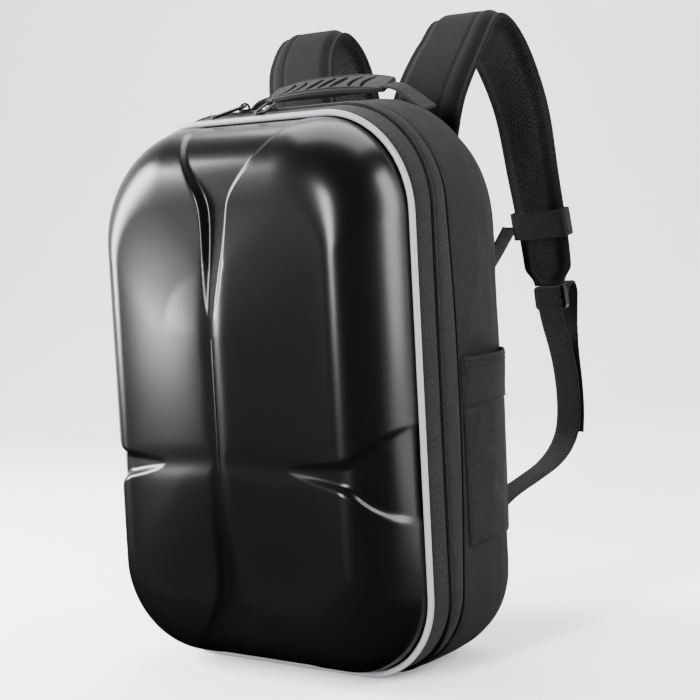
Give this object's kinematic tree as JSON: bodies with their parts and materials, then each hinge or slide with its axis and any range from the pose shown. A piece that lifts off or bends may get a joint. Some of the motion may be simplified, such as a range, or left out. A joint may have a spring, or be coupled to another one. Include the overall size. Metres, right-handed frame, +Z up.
{
  "type": "hard shell backpack",
  "caption": "Backpack with a moulded hard front shell edged with piping, a zip round its gusset, a cloth rear body with side pockets, a moulded top handle and padded shoulder straps",
  "frame": {"origin": "on the flat base of the cloth rear body, 60 mm behind the plane of the piping, midway across", "axes": "+Z up, -Y the way the hard shell faces, +Y the wearer's side with the shoulder straps, +X the right-hand side seen from the front of the shell"},
  "size_m": [0.3372, 0.3819, 0.5441],
  "materials": {
    "shell": "smooth moulded, glossy black",
    "piping": "smooth satin light grey",
    "zip_tape": "knitted herringbone tape, black",
    "body_cloth": "woven polyester, matt black",
    "strap_cloth": "padded cloth with mesh underside, black",
    "back_mesh": "padded air mesh, black",
    "webbing": "ribbed woven webbing, black",
    "moulded": "moulded satin black",
    "grip": "soft moulded dark grey",
    "zip_metal": "gloss black enamel"
  },
  "bodies": {
    "root": {"hard_shell": "shell", "piping": "piping", "zip_tape_front": "zip_tape", "zip_tape_rear": "zip_tape", "zip_coil": "zip_tape", "rear_body": "body_cloth", "side_pocket_left": "body_cloth", "side_pocket_right": "body_cloth", "shoulder_strap_left": "strap_cloth", "shoulder_strap_right": "strap_cloth", "back_pad": "back_mesh", "lower_webbing_left": "webbing", "lower_webbing_right": "webbing", "webbing_tail_left": "webbing", "webbing_tail_right": "webbing", "chest_loop_left": "webbing", "chest_loop_right": "webbing", "chest_webbing_left": "webbing", "chest_webbing_right": "webbing", "handle_webbing_left": "webbing", "handle_webbing_right": "webbing", "ladder_lock_left": "moulded", "ladder_lock_right": "moulded", "chest_buckle": "moulded", "handle_grip": "grip", "zip_slider_left": "zip_metal", "zip_slider_right": "zip_metal"},
    "pull_left": {"zip_pull_left": "zip_metal"},
    "pull_right": {"zip_pull_right": "zip_metal"}
  },
  "joints": [
    {"name": "pull_left_swing", "type": "hinge", "parent": "root", "child": "pull_left", "pos_m": [-0.036, -0.0345, 0.47025], "axis": [-0.9135, 0.4067, 0], "range_deg": [0, 150]},
    {"name": "pull_right_swing", "type": "hinge", "parent": "root", "child": "pull_right", "pos_m": [-0.007, -0.0345, 0.47025], "axis": [-0.9455, -0.3256, 0], "range_deg": [0, 150]}
  ]
}
